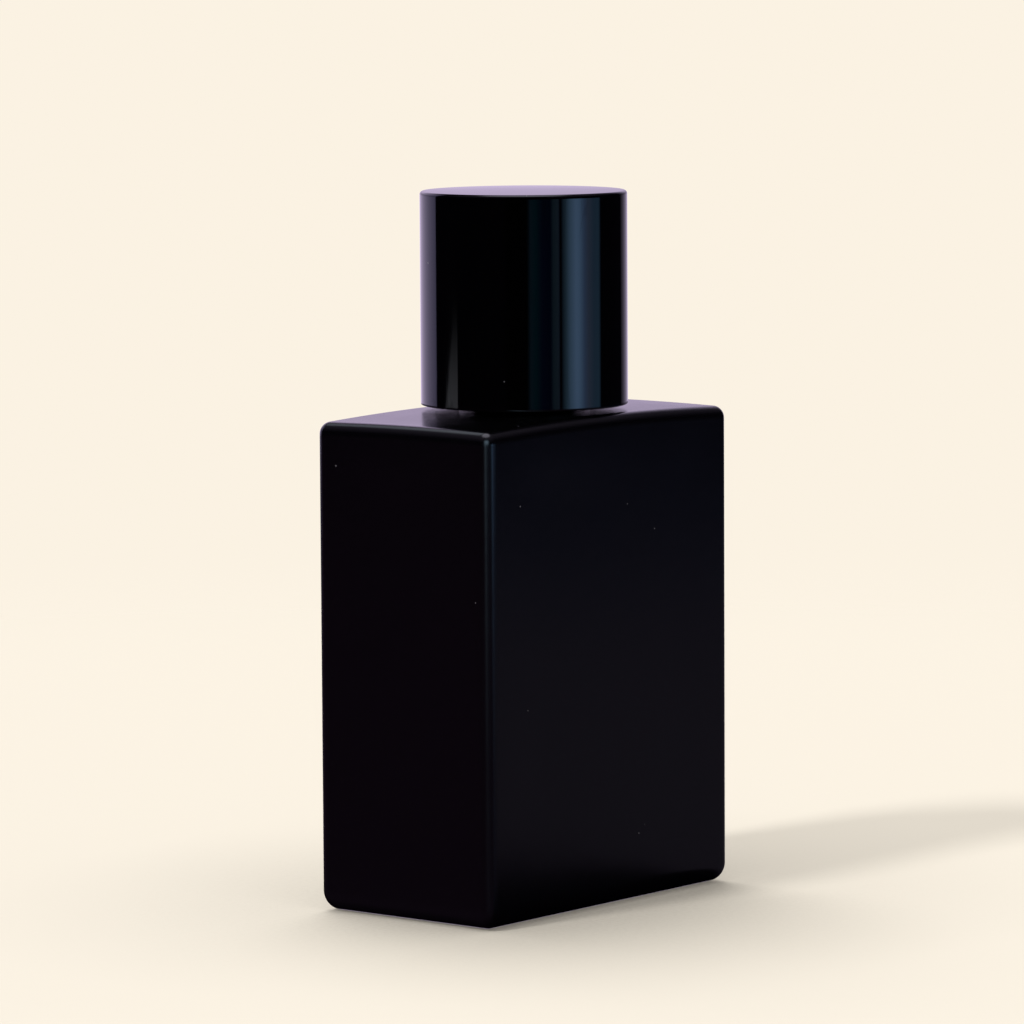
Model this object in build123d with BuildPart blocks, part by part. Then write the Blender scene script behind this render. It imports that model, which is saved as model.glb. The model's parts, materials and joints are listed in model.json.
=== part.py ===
from build123d import *
import math
import os

# Aftershave bottle: lacquered glass, a crimped spray pump with a 15 mm neck, and a press-on cap.
# Millimetres. The origin is the centre of the base, +Z is up, and the wide front looks along -Y.

# Glass bottle
bottle_width = 54.2
bottle_depth = 30.7
bottle_height = 68.0  # at the shoulder's corners
crown_rise = 0.87  # the shoulder's middle above its corners
corner_radius = 1.7
shoulder_radius = 1.6
heel_radius = 2.8
front_wall = 3.8
side_wall = 4.5
base_thickness = 9.0
shoulder_thickness = 4.6
cavity_corner = 6.0
cavity_edge = 3.0
punt_inset = 6.1
punt_height = 0.6
punt_corner = 3.0
punt_slope = 30  # degrees from upright
overrun = 1.0  # how far a cutting shape runs past what it cuts
overlap = 0.1  # of neighbouring cuts, and of ribs into their wall

# Neck finish for a 15 mm crimp pump
neck_radius = 6.65
bead_radius = 7.5
bore_radius = 4.9
neck_height = 7.0
bead_height = 2.9
bead_undercut = 0.7
lip_radius = 0.5
neck_root = 2.0  # the neck's depth in the shoulder

# Closure
gasket_thickness = 0.8
gasket_bore = 4.7
flange_radius = 6.9
flange_thickness = 1.15
ferrule_wall = 0.35
ferrule_play = 0.02  # radial, between the bead and the ferrule
crimp_reach = 6.8  # the radius that the ferrule's turned-in edge comes to
crimp_drop = 0.574  # that edge below the bead's corner
running_gap = 0.05  # between pieces that slide or turn

# Pump housing, turret and seal
barrel_radius = 4.6  # inside the bottle's neck
housing_radius = 3.9
cylinder_radius = 2.8
cylinder_length = 17.6
cylinder_floor = 0.6
seal_radius = 3.6
seal_thickness = 0.8
turret_radius = 4.3
turret_rim = 0.8
turret_plug = 1.4
turret_boss = 1.0
turret_chamfer = 0.4
lead_in = 0.35
vent_lift = 2.0  # above the piston's foot
vent_depth = 2.5

# Inlet valve and dip tube
chamber_radius = 1.3
chamber_height = 2.0
cage_radius = 0.8
cage_lip = 0.3
ball_radius = 1.0
ball_play = 0.02
inlet_radius = 0.6
inlet_length = 1.0
nose_wall = 0.9
socket_radius = 2.0
socket_length = 5.2
tube_radius = 1.0
tube_bore = 0.65
tube_clearance = 1.6  # above the cavity's floor
slant_height = 0.6

# Stem, piston and spring
stem_radius = 1.6
stem_bore = 0.7
stem_travel = 3.4
stem_collar_radius = 2.3
stem_collar_height = 1.1
stem_flange_radius = 2.2
stem_flange_height = 0.7
stem_floor = 0.8
guide_radius = 1.2
guide_length = 1.5
guide_chamfer = 0.3
port_radius = 0.4
port_lift = 0.7  # above the piston's foot
lost_motion = 0.5  # the stem moves this far before it takes the piston along
piston_length = 3.4
piston_waist = 2.3
wiper_groove = 2.1
wiper_height = 0.5
wiper_edge = 0.2
wiper_root = 1.2
spring_wire = 0.5
spring_radius = 1.95
spring_turns = 8

# Sprayer button
button_radius = 6.7
button_height = 9.9
button_wall = 0.4
button_roof = 0.6
button_edge = 0.7
button_clearance = 0.5  # above the ferrule when it is pressed
core_clearance = 0.6
core_wall = 1.1
core_roof = 1.2
hub_radius = 2.9
stem_grip = 3.0

# Nozzle
nozzle_radius = 2.1
nozzle_drop = 4.1  # below the button's top
nozzle_gap = 0.1
nozzle_play = 0.01
nozzle_length = 2.35
nozzle_edge = 0.25
nozzle_cup = 1.6
orifice_radius = 0.2
dish_radius = 0.8
dish_angle = 110
pocket_depth = 2.2
post_radius = 0.8
post_recess = 0.6
feed_radius = 0.4
feed_offset = 1.1
gallery_width = 3.0

# Collar
collar_radius = 9.1
collar_wall = 0.5
collar_gap = 0.35  # above the shoulder, and around the button
collar_height = 13.45
collar_edge = 0.4
insert_lift = 0.5
insert_step = 0.3
snap_radius = 7.2
snap_slope = 0.3
snap_height = 0.6

# Cap
cap_radius = 14.45
cap_height = 29.9
cap_gap = 0.63  # rim above the shoulder's middle
cap_wall = 1.8
cap_top_wall = 1.6
cap_edge = 0.5
rim_chamfer = 0.2
liner_radius = 9.7
liner_wall = 0.9
liner_floor = 0.8
liner_inset = 0.4
liner_flange = 1.0
mouth_flare = 0.5
mouth_height = 0.6
rib_count = 8
rib_width = 1.0
rib_start = 1.2
stop_depth = 1.6
stop_height = 3.0
fin_count = 6
fin_width = 0.8
fin_lift = 0.5

# Radii and levels worked out from the sizes above
ferrule_bore = bead_radius + ferrule_play
ferrule_radius = ferrule_bore + ferrule_wall
core_radius = button_radius - button_wall
sleeve_bore = collar_radius - collar_wall
insert_bore = button_radius + collar_gap + insert_step
throat_radius = button_radius + collar_gap
shell_bore = cap_radius - cap_wall
crown_top = bottle_height + crown_rise
half_diagonal = math.hypot(bottle_width / 2, bottle_depth / 2)
crown_radius = (half_diagonal**2 + crown_rise**2) / (2 * crown_rise)
lip_z = crown_top + neck_height
bead_z = lip_z - bead_height
gasket_top = lip_z + gasket_thickness
flange_top = gasket_top + flange_thickness
ferrule_top = flange_top + ferrule_wall
turret_top = ferrule_top + turret_boss
turret_ledge = flange_top - turret_rim
turret_foot = turret_ledge - turret_plug
seal_foot = turret_foot - seal_thickness
spring_seat = seal_foot - cylinder_length
chamber_top = spring_seat - cage_lip
chamber_floor = chamber_top - chamber_height
cone_floor = chamber_floor - chamber_radius + inlet_radius  # a seat at 45 degrees
ball_z = cone_floor - inlet_radius + (ball_radius + ball_play) * math.sqrt(2)
tube_top = cone_floor - inlet_length
tube_foot = base_thickness + tube_clearance
socket_foot = tube_top - socket_length
stem_collar_top = seal_foot - running_gap
stem_collar_foot = stem_collar_top - stem_collar_height
piston_top = stem_collar_foot - lost_motion - running_gap
piston_foot = piston_top - piston_length
stem_flange_top = piston_foot - running_gap
stem_flange_foot = stem_flange_top - stem_flange_height
stem_foot = stem_flange_foot - guide_length
button_foot = ferrule_top + stem_travel + button_clearance
button_top = button_foot + button_height
core_foot = turret_top + stem_travel + core_clearance
core_top = button_top - button_roof
stem_top = core_foot + stem_grip
nozzle_z = button_top - nozzle_drop
nozzle_back = core_radius - pocket_depth + running_gap
collar_foot = crown_top + collar_gap
collar_top = collar_foot + collar_height
insert_foot = collar_foot + insert_lift
crimp_foot = bead_z - bead_undercut
cap_foot = crown_top + cap_gap
cap_top = cap_foot + cap_height
liner_foot = cap_foot + liner_inset
liner_top = cap_top - cap_top_wall
flange_of_liner = liner_foot + liner_flange

# The space for the liquid, as the core that leaves it in the glass
with BuildPart() as liquid_core:
    with BuildSketch(Plane.XY.offset(base_thickness)):
        RectangleRounded(
            bottle_width - 2 * side_wall, bottle_depth - 2 * front_wall, cavity_corner
        )
    extrude(amount=crown_top - shoulder_thickness - base_thickness)
    flat_ends = liquid_core.faces().filter_by(Axis.Z)
    fillet(flat_ends.edges(), cavity_edge)
    with BuildSketch(Plane.XY.offset(crown_top - shoulder_thickness - overrun)):
        Circle(bore_radius)
    extrude(amount=shoulder_thickness + neck_height + 2 * overrun)

with BuildPart() as glass_bottle:
    with BuildSketch():
        Rectangle(bottle_width, bottle_depth)
    extrude(amount=crown_top + overrun)
    with Locations((0, 0, crown_top - crown_radius)):
        Sphere(crown_radius, rotation=(90, 0, 0), mode=Mode.INTERSECT)  # its pole is off the top
    fillet(glass_bottle.edges().filter_by(Axis.Z), corner_radius)
    fillet(glass_bottle.faces().sort_by(Axis.Z)[-1].edges(), shoulder_radius)
    fillet(glass_bottle.faces().sort_by(Axis.Z)[0].edges(), heel_radius)
    # a shallow punt, so that the bottle stands on a ring
    with BuildSketch():
        RectangleRounded(
            bottle_width - 2 * punt_inset, bottle_depth - 2 * punt_inset, punt_corner
        )
    extrude(amount=punt_height, taper=punt_slope, mode=Mode.SUBTRACT)
    # the neck, with the bead that the ferrule is crimped under
    with BuildSketch(Plane.XZ):
        with BuildLine():
            Polyline(
                (0, crown_top - neck_root),
                (neck_radius, crown_top - neck_root),
                (neck_radius, crimp_foot),
                (bead_radius, bead_z),
                (bead_radius, lip_z),
                (0, lip_z),
                close=True,
            )
        make_face()
    revolve(axis=Axis.Z)
    lip_edge = glass_bottle.edges().filter_by(GeomType.CIRCLE).sort_by(Axis.Z)[-1]
    fillet(lip_edge, lip_radius)
    add(liquid_core.part, mode=Mode.SUBTRACT)

with BuildPart() as neck_gasket:
    with BuildSketch(Plane.XY.offset(lip_z)):
        Circle(flange_radius)
        Circle(gasket_bore, mode=Mode.SUBTRACT)
    extrude(amount=gasket_thickness)

# A drawn aluminium cup, turned in under the bead
with BuildPart() as crimp_ferrule:
    with BuildSketch(Plane.XZ):
        with BuildLine():
            Polyline(
                (crimp_reach, bead_z - crimp_drop),
                (ferrule_bore, bead_z - ferrule_play),
                (ferrule_bore, flange_top),
                (seal_radius, flange_top),
            )
            offset(amount=ferrule_wall, side=Side.RIGHT)
        make_face()
    revolve(axis=Axis.Z)

with BuildPart() as pump_housing:
    with BuildSketch(Plane.XZ):
        with BuildLine():
            Polyline(
                (turret_radius, flange_top),
                (flange_radius, flange_top),
                (flange_radius, gasket_top),
                (barrel_radius, gasket_top),
                (barrel_radius, crown_top + barrel_radius - housing_radius),
                (housing_radius, crown_top),
                (housing_radius, spring_seat - cylinder_floor),
                (socket_radius, chamber_floor - nose_wall),
                (socket_radius, socket_foot),
                (tube_radius, socket_foot),
                (tube_radius, tube_top),
                (inlet_radius, tube_top),
                (inlet_radius, cone_floor),
                (chamber_radius, chamber_floor),
                (chamber_radius, chamber_top),
                (cage_radius, chamber_top),
                (cage_radius, spring_seat),
                (cylinder_radius, spring_seat),
                (cylinder_radius, seal_foot),
                (seal_radius, seal_foot),
                (seal_radius, turret_ledge),
                (turret_radius, turret_ledge),
                close=True,
            )
        make_face()
    revolve(axis=Axis.Z)
    # the vent that the piston uncovers
    vent_spot = (0, barrel_radius, piston_foot + vent_lift)
    with Locations(Plane(origin=vent_spot, z_dir=(0, 1, 0))):
        Hole(port_radius, depth=vent_depth)

# Closes the housing and guides the stem
with BuildPart() as turret:
    with BuildSketch(Plane.XZ):
        with BuildLine():
            Polyline(
                (stem_radius + running_gap, turret_foot),
                (seal_radius, turret_foot),
                (seal_radius, turret_ledge),
                (turret_radius, turret_ledge),
                (turret_radius, flange_top),
                (seal_radius, flange_top),
                (seal_radius, turret_top - turret_chamfer),
                (seal_radius - turret_chamfer, turret_top),
                (stem_radius + running_gap + lead_in, turret_top),
                (stem_radius + running_gap, turret_top - lead_in),
                close=True,
            )
        make_face()
    revolve(axis=Axis.Z)

with BuildPart() as stem_seal:
    with BuildSketch(Plane.XY.offset(seal_foot)):
        Circle(seal_radius)
        Circle(stem_radius + running_gap / 2, mode=Mode.SUBTRACT)
    extrude(amount=seal_thickness)

with BuildPart() as dip_tube:
    with BuildSketch(Plane.XY.offset(tube_foot)):
        Circle(tube_radius)
        Circle(tube_bore, mode=Mode.SUBTRACT)
    extrude(amount=tube_top - tube_foot)
    # cut on a slant, so that it can't seal against the glass
    cut_plane = Plane(origin=(0, 0, tube_foot + slant_height), z_dir=(1, 0, 2))
    split(bisect_by=cut_plane, keep=Keep.TOP)

with BuildPart() as inlet_ball:
    with Locations((0, 0, ball_z)):
        Sphere(ball_radius)

with BuildPart() as return_spring:
    coil_length = stem_flange_foot - spring_seat - spring_wire - 2 * running_gap
    with BuildLine() as coil:
        Helix(
            pitch=coil_length / spring_turns,
            height=coil_length,
            radius=spring_radius,
            center=(0, 0, spring_seat + running_gap + spring_wire / 2),
        )
    with BuildSketch(Plane(origin=coil.line @ 0, z_dir=coil.line % 0)):
        Circle(spring_wire / 2)
    sweep(path=coil.line)

# Slides on the stem between its shoulder and its foot, with a wiper lip at each end
with BuildPart() as piston:
    piston_bore = stem_radius + running_gap
    wiper_radius = cylinder_radius - running_gap / 2
    with BuildSketch(Plane.XZ):
        with BuildLine():
            Polyline(
                (piston_bore, piston_foot),
                (wiper_groove, piston_foot),
                (wiper_groove, piston_foot + wiper_height),
                (wiper_radius - wiper_edge, piston_foot),
                (wiper_radius, piston_foot),
                (wiper_radius, piston_foot + wiper_height),
                (piston_waist, piston_foot + wiper_root),
                (piston_waist, piston_top - wiper_root),
                (wiper_radius, piston_top - wiper_height),
                (wiper_radius, piston_top),
                (wiper_radius - wiper_edge, piston_top),
                (wiper_groove, piston_top - wiper_height),
                (wiper_groove, piston_top),
                (piston_bore, piston_top),
                close=True,
            )
        make_face()
    revolve(axis=Axis.Z)

with BuildPart() as pump_stem:
    with BuildSketch(Plane.XZ):
        with BuildLine():
            Polyline(
                (0, stem_foot),
                (guide_radius - guide_chamfer, stem_foot),
                (guide_radius, stem_foot + guide_chamfer),
                (guide_radius, stem_flange_foot),
                (stem_flange_radius, stem_flange_foot),
                (stem_flange_radius, stem_flange_top),
                (stem_radius, stem_flange_top),
                (stem_radius, stem_collar_foot),
                (stem_collar_radius, stem_collar_foot),
                (stem_collar_radius, stem_collar_top),
                (stem_radius, stem_collar_top),
                (stem_radius, stem_top),
                (stem_bore, stem_top),
                (stem_bore, stem_flange_foot + stem_floor),
                (0, stem_flange_foot + stem_floor),
                close=True,
            )
        make_face()
    revolve(axis=Axis.Z)
    # the two ports that the piston covers at rest
    with BuildSketch(Plane.XZ):
        with Locations((0, piston_foot + port_lift)):
            Circle(port_radius)
    extrude(amount=2 * stem_radius, both=True, mode=Mode.SUBTRACT)

# The moulded inside of the button: a socket for the stem and the channel to the nozzle
with BuildPart() as actuator_core:
    with BuildSketch(Plane.XY.offset(core_foot)):
        Circle(core_radius)
    extrude(amount=core_top - core_foot)
    with BuildSketch(Plane.XY.offset(core_foot)):
        Circle(core_radius - core_wall)
        Circle(hub_radius, mode=Mode.SUBTRACT)
        with Locations((0, -core_radius / 2)):
            Rectangle(2 * hub_radius, core_radius, mode=Mode.SUBTRACT)
    extrude(amount=core_top - core_foot - core_roof, mode=Mode.SUBTRACT)
    with BuildSketch(Plane.XY.offset(core_foot)):
        Circle(stem_radius)
    extrude(amount=stem_grip, mode=Mode.SUBTRACT)
    with BuildSketch(Plane.XY.offset(stem_top)):
        Circle(stem_bore)
    extrude(amount=nozzle_z - stem_top + stem_bore, mode=Mode.SUBTRACT)
    # an annular pocket leaves the post that the nozzle insert is pressed over
    with BuildSketch(Plane.XZ.offset(core_radius - pocket_depth)):
        with Locations((0, nozzle_z)):
            Circle(nozzle_radius)
            Circle(post_radius, mode=Mode.SUBTRACT)
    extrude(amount=pocket_depth + overlap, mode=Mode.SUBTRACT)
    with BuildSketch(Plane.XZ.offset(core_radius - post_recess)):
        with Locations((0, nozzle_z)):
            Circle(nozzle_radius)
    extrude(amount=post_recess + overlap, mode=Mode.SUBTRACT)
    # two feeds past the post, from the channel to the pocket
    with BuildSketch(Plane.XZ):
        with Locations((-feed_offset, nozzle_z), (feed_offset, nozzle_z)):
            Circle(feed_radius)
    extrude(amount=core_radius - pocket_depth + overlap, mode=Mode.SUBTRACT)
    with BuildSketch(Plane.XY.offset(nozzle_z - feed_radius)):
        Rectangle(gallery_width, 2 * feed_radius)
    extrude(amount=2 * feed_radius, mode=Mode.SUBTRACT)

with BuildPart() as nozzle_insert:
    with BuildSketch(Plane.XZ.offset(nozzle_back)):
        with Locations((0, nozzle_z)):
            Circle(nozzle_radius - nozzle_play)
    extrude(amount=nozzle_length)
    front = nozzle_insert.faces().sort_by(Axis.Y)[0]
    fillet(front.edges(), nozzle_edge)
    with BuildSketch(Plane.XZ.offset(nozzle_back)):
        with Locations((0, nozzle_z)):
            Circle(post_radius + nozzle_gap)
    extrude(amount=nozzle_cup, mode=Mode.SUBTRACT)
    # the spray orifice, in a small dish
    with Locations(Plane(origin=(0, -nozzle_back - nozzle_length, nozzle_z), z_dir=(0, -1, 0))):
        CounterSinkHole(
            radius=orifice_radius,
            counter_sink_radius=dish_radius,
            depth=nozzle_length,
            counter_sink_angle=dish_angle,
        )

with BuildPart() as actuator_shell:
    with BuildSketch(Plane.XY.offset(button_foot)):
        Circle(button_radius)
    extrude(amount=button_height)
    fillet(actuator_shell.edges().sort_by(Axis.Z)[-1], button_edge)
    with BuildSketch(Plane.XY.offset(button_foot)):
        Circle(core_radius)
    extrude(amount=button_height - button_roof, mode=Mode.SUBTRACT)
    with BuildSketch(Plane.XZ):
        with Locations((0, nozzle_z)):
            Circle(nozzle_radius + nozzle_gap)
    extrude(amount=button_radius + overrun, mode=Mode.SUBTRACT)

with BuildPart() as collar_sleeve:
    with BuildSketch(Plane.XY.offset(collar_foot)):
        Circle(collar_radius)
    extrude(amount=collar_height)
    fillet(collar_sleeve.edges().sort_by(Axis.Z)[-1], collar_edge)
    with BuildSketch(Plane.XY.offset(collar_foot)):
        Circle(sleeve_bore)
    extrude(amount=collar_height - collar_wall, mode=Mode.SUBTRACT)
    with BuildSketch(Plane.XY.offset(collar_foot)):
        Circle(throat_radius)
    extrude(amount=collar_height, mode=Mode.SUBTRACT)

# Holds the sleeve: it seats on the ferrule and snaps under the crimp
with BuildPart() as collar_insert:
    with BuildSketch(Plane.XZ):
        with BuildLine():
            Polyline(
                (sleeve_bore, insert_foot),
                (sleeve_bore, collar_top - collar_wall),
                (insert_bore, collar_top - collar_wall),
                (insert_bore, ferrule_top),
                (ferrule_radius, ferrule_top),
                (ferrule_radius, crimp_foot),
                (snap_radius, crimp_foot - snap_slope),
                (snap_radius, crimp_foot - snap_slope - snap_height),
                (ferrule_radius, insert_foot),
                close=True,
            )
        make_face()
    revolve(axis=Axis.Z)

with BuildPart() as cap_shell:
    with BuildSketch(Plane.XY.offset(cap_foot)):
        Circle(cap_radius)
    extrude(amount=cap_height)
    fillet(cap_shell.edges().sort_by(Axis.Z)[-1], cap_edge)
    chamfer(cap_shell.edges().sort_by(Axis.Z)[0], rim_chamfer)
    with BuildSketch(Plane.XY.offset(cap_foot)):
        Circle(shell_bore)
    extrude(amount=cap_height - cap_top_wall, mode=Mode.SUBTRACT)

# The inner cap: a sleeve that grips the collar, with a flange that closes the shell's rim
with BuildPart() as cap_liner:
    with BuildSketch(Plane.XZ):
        with BuildLine():
            Polyline(
                (0, liner_top),
                (0, liner_top - liner_floor),
                (liner_radius, liner_top - liner_floor),
                (liner_radius, liner_foot + mouth_height),
                (liner_radius + mouth_flare, liner_foot),
                (shell_bore, liner_foot),
                (shell_bore, flange_of_liner),
                (liner_radius + liner_wall, flange_of_liner),
                (liner_radius + liner_wall, liner_top),
                close=True,
            )
        make_face()
    revolve(axis=Axis.Z)
    # grip ribs along the collar
    rib_depth = liner_radius - collar_radius - running_gap
    with BuildSketch(Plane.XY.offset(liner_foot + rib_start)):
        with PolarLocations(liner_radius - rib_depth / 2 + overlap, rib_count):
            Rectangle(rib_depth + 2 * overlap, rib_width)
    extrude(amount=collar_top - liner_foot - rib_start)
    # stops that seat on the collar's top edge
    with BuildSketch(Plane.XY.offset(collar_top + running_gap)):
        with PolarLocations(liner_radius - stop_depth / 2 + overlap, rib_count):
            Rectangle(stop_depth + 2 * overlap, rib_width)
    extrude(amount=stop_height)
    # fins that centre the liner in the shell
    fin_depth = shell_bore - liner_radius - liner_wall
    with BuildSketch(Plane.XY.offset(liner_foot + fin_lift)):
        with PolarLocations(shell_bore - fin_depth / 2 - running_gap, fin_count):
            Rectangle(fin_depth, fin_width)
    extrude(amount=liner_top - liner_foot - fin_lift)

pieces = {
    "glass_bottle": glass_bottle,
    "neck_gasket": neck_gasket,
    "crimp_ferrule": crimp_ferrule,
    "pump_housing": pump_housing,
    "turret": turret,
    "stem_seal": stem_seal,
    "dip_tube": dip_tube,
    "inlet_ball": inlet_ball,
    "return_spring": return_spring,
    "piston": piston,
    "pump_stem": pump_stem,
    "actuator_core": actuator_core,
    "nozzle_insert": nozzle_insert,
    "actuator_shell": actuator_shell,
    "collar_sleeve": collar_sleeve,
    "collar_insert": collar_insert,
    "cap_shell": cap_shell,
    "cap_liner": cap_liner,
}

os.makedirs("parts", exist_ok=True)
for name, piece in pieces.items():
    piece.part.label = name
    export_step(piece.part, f"parts/{name}.step")
    size = piece.part.bounding_box().size
    print(f"{name}: {piece.part.volume:.1f} mm3, {size.X:.2f} x {size.Y:.2f} x {size.Z:.2f}")
print(f"brimful volume {liquid_core.part.volume / 1000:.1f} ml")
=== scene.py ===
import json
import math

import bpy
from mathutils import Matrix, Vector, noise

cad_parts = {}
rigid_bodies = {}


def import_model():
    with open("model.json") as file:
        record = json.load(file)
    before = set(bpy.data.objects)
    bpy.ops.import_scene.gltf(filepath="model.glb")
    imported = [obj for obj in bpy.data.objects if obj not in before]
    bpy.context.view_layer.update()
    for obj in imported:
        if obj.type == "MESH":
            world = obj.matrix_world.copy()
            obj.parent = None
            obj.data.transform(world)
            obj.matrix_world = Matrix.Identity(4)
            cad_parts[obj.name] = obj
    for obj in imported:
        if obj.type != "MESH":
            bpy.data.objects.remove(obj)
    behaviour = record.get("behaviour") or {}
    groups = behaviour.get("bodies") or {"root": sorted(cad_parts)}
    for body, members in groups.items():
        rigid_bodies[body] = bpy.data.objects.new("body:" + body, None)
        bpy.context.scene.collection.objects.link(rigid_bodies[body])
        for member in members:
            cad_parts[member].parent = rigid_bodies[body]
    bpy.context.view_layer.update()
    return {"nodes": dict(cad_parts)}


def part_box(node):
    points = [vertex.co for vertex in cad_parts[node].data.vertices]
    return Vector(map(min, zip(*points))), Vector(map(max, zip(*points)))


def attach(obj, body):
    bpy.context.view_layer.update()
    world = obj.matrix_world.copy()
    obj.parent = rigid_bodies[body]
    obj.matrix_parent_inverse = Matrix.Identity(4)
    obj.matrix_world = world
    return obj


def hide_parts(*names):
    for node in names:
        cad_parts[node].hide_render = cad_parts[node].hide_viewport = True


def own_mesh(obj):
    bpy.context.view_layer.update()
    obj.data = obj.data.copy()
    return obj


# Aftershave bottle in satin black glass with a glossy black cap. Metres, base at z = 0, front along -Y.

mm = 0.001

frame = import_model()
nodes = frame["nodes"]
print("frame loaded:", len(nodes), "nodes")


def addNode(tree, kind, values=None, **settings):
    node = tree.nodes.new(kind)
    for key, value in settings.items():
        setattr(node, key, value)
    for key, value in (values or {}).items():
        node.inputs[key].default_value = value
    return node


def addMath(tree, operation, first, second=None, clamp=False):
    node = addNode(tree, "ShaderNodeMath", operation=operation, use_clamp=clamp)
    for socket, value in zip(node.inputs, (first, second)):
        if isinstance(value, bpy.types.NodeSocket):
            tree.links.new(value, socket)
        elif value is not None:
            socket.default_value = value
    return node.outputs[0]


def addRange(tree, value, low, high, newLow=0.0, newHigh=1.0, smooth=True):
    node = addNode(tree, "ShaderNodeMapRange", interpolation_type="SMOOTHSTEP" if smooth else "LINEAR")
    tree.links.new(value, node.inputs["Value"])
    for name, number in (("From Min", low), ("From Max", high), ("To Min", newLow), ("To Max", newHigh)):
        if isinstance(number, bpy.types.NodeSocket):
            tree.links.new(number, node.inputs[name])
        else:
            node.inputs[name].default_value = number
    return node.outputs["Result"]


def addNoise(tree, vector, scale, detail=2.0, roughness=0.5):
    node = addNode(tree, "ShaderNodeTexNoise", {"Detail": detail, "Roughness": roughness})
    tree.links.new(vector, node.inputs["Vector"])
    if isinstance(scale, bpy.types.NodeSocket):
        tree.links.new(scale, node.inputs["Scale"])
    else:
        node.inputs["Scale"].default_value = scale
    return node.outputs["Fac"]


def newGroup(name, inputs, outputs):
    group = bpy.data.node_groups.new(name, "ShaderNodeTree")
    for label, value in inputs.items():
        socket = group.interface.new_socket(label, in_out="INPUT", socket_type="NodeSocketFloat")
        socket.default_value = value
    for label in outputs:
        group.interface.new_socket(label, in_out="OUTPUT", socket_type="NodeSocketFloat")
    return group, addNode(group, "NodeGroupInput").outputs, addNode(group, "NodeGroupOutput").inputs


def makeGrain():
    # Fine moulding or spray grain, with a broader unevenness under it
    scales = {"Fine Scale": 4000.0, "Broad Scale": 120.0}
    group, given, out = newGroup("surfaceGrain", scales, ("Fine", "Broad"))
    place = addNode(group, "ShaderNodeTexCoord").outputs["Object"]
    fine = addNoise(group, place, given["Fine Scale"], detail=3.0, roughness=0.6)
    broad = addNoise(group, place, given["Broad Scale"], detail=1.0)
    group.links.new(fine, out["Fine"])
    group.links.new(broad, out["Broad"])
    return group


def makeDust():
    # Specks and short fibres that settle on what faces up, and a few on the walls
    group, given, out = newGroup("settledDust", {"Scale": 900.0, "Amount": 0.3, "Walls": 0.1}, ("Mask",))
    place = addNode(group, "ShaderNodeTexCoord").outputs["Object"]
    cells = addNode(group, "ShaderNodeTexVoronoi", {"Randomness": 1.0})
    group.links.new(place, cells.inputs["Vector"])
    group.links.new(given["Scale"], cells.inputs["Scale"])
    chance = addNode(group, "ShaderNodeSeparateColor")
    group.links.new(cells.outputs["Color"], chance.inputs["Color"])
    size = addRange(group, chance.outputs["Red"], 0.0, 1.0, 0.03, 0.2, smooth=False)
    speck = addMath(group, "LESS_THAN", cells.outputs["Distance"], size)
    normal = addNode(group, "ShaderNodeSeparateXYZ")
    group.links.new(addNode(group, "ShaderNodeNewGeometry").outputs["Normal"], normal.inputs["Vector"])
    upward = addRange(group, normal.outputs["Z"], 0.3, 0.9, given["Walls"], 1.0)
    patches = addRange(group, addNoise(group, place, 160.0), 0.42, 0.62, 0.15, 1.0)
    share = addMath(group, "MULTIPLY", addMath(group, "MULTIPLY", given["Amount"], upward), patches)
    kept = addMath(group, "LESS_THAN", chance.outputs["Green"], share)
    group.links.new(addMath(group, "MULTIPLY", speck, kept), out["Mask"])
    return group


def makeHairlines():
    # Light wiping marks in two directions, each a stretched noise cut to thin lines
    group, given, out = newGroup("wipingHairlines", {"Scale": 260.0, "Width": 0.012}, ("Mask",))
    place = addNode(group, "ShaderNodeTexCoord").outputs["Object"]
    total = None
    for turn, stretch in ((0.5, 0.06), (-0.9, 0.09)):
        mapping = addNode(group, "ShaderNodeMapping", {
            "Rotation": (turn, 0.4, turn), "Scale": (1.0, 1.0, stretch)})
        group.links.new(place, mapping.inputs["Vector"])
        lines = addNoise(group, mapping.outputs["Vector"], given["Scale"], detail=1.0)
        away = addMath(group, "ABSOLUTE", addMath(group, "SUBTRACT", lines, 0.5))
        mark = addMath(group, "LESS_THAN", away, given["Width"])
        total = mark if total is None else addMath(group, "MAXIMUM", total, mark)
    fade = addRange(group, addNoise(group, place, 70.0), 0.45, 0.65)
    group.links.new(addMath(group, "MULTIPLY", total, fade), out["Mask"])
    return group


def makeTurning():
    # Rings about the Z axis, as turning, rolling and drawing leave them
    group, given, out = newGroup("turningMarks", {"Scale": 3000.0, "Along": 0.02}, ("Rings",))
    place = addNode(group, "ShaderNodeTexCoord").outputs["Object"]
    parts = addNode(group, "ShaderNodeSeparateXYZ")
    group.links.new(place, parts.inputs["Vector"])
    flat = addNode(group, "ShaderNodeCombineXYZ")
    group.links.new(parts.outputs["X"], flat.inputs["X"])
    group.links.new(parts.outputs["Y"], flat.inputs["Y"])
    radius = addNode(group, "ShaderNodeVectorMath", operation="LENGTH")
    group.links.new(flat.outputs["Vector"], radius.inputs[0])
    around = addMath(group, "ARCTAN2", parts.outputs["Y"], parts.outputs["X"])
    mixed = addNode(group, "ShaderNodeCombineXYZ")
    group.links.new(radius.outputs["Value"], mixed.inputs["X"])
    group.links.new(parts.outputs["Z"], mixed.inputs["Y"])
    drift = addMath(group, "MULTIPLY", given["Along"], 0.01)
    group.links.new(addMath(group, "MULTIPLY", addMath(group, "SINE", around), drift), mixed.inputs["Z"])
    group.links.new(addNoise(group, mixed.outputs["Vector"], given["Scale"], detail=2.0), out["Rings"])
    return group


grainGroup = makeGrain()
dustGroup = makeDust()
hairlineGroup = makeHairlines()
turningGroup = makeTurning()
print("shader groups ready")


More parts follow.
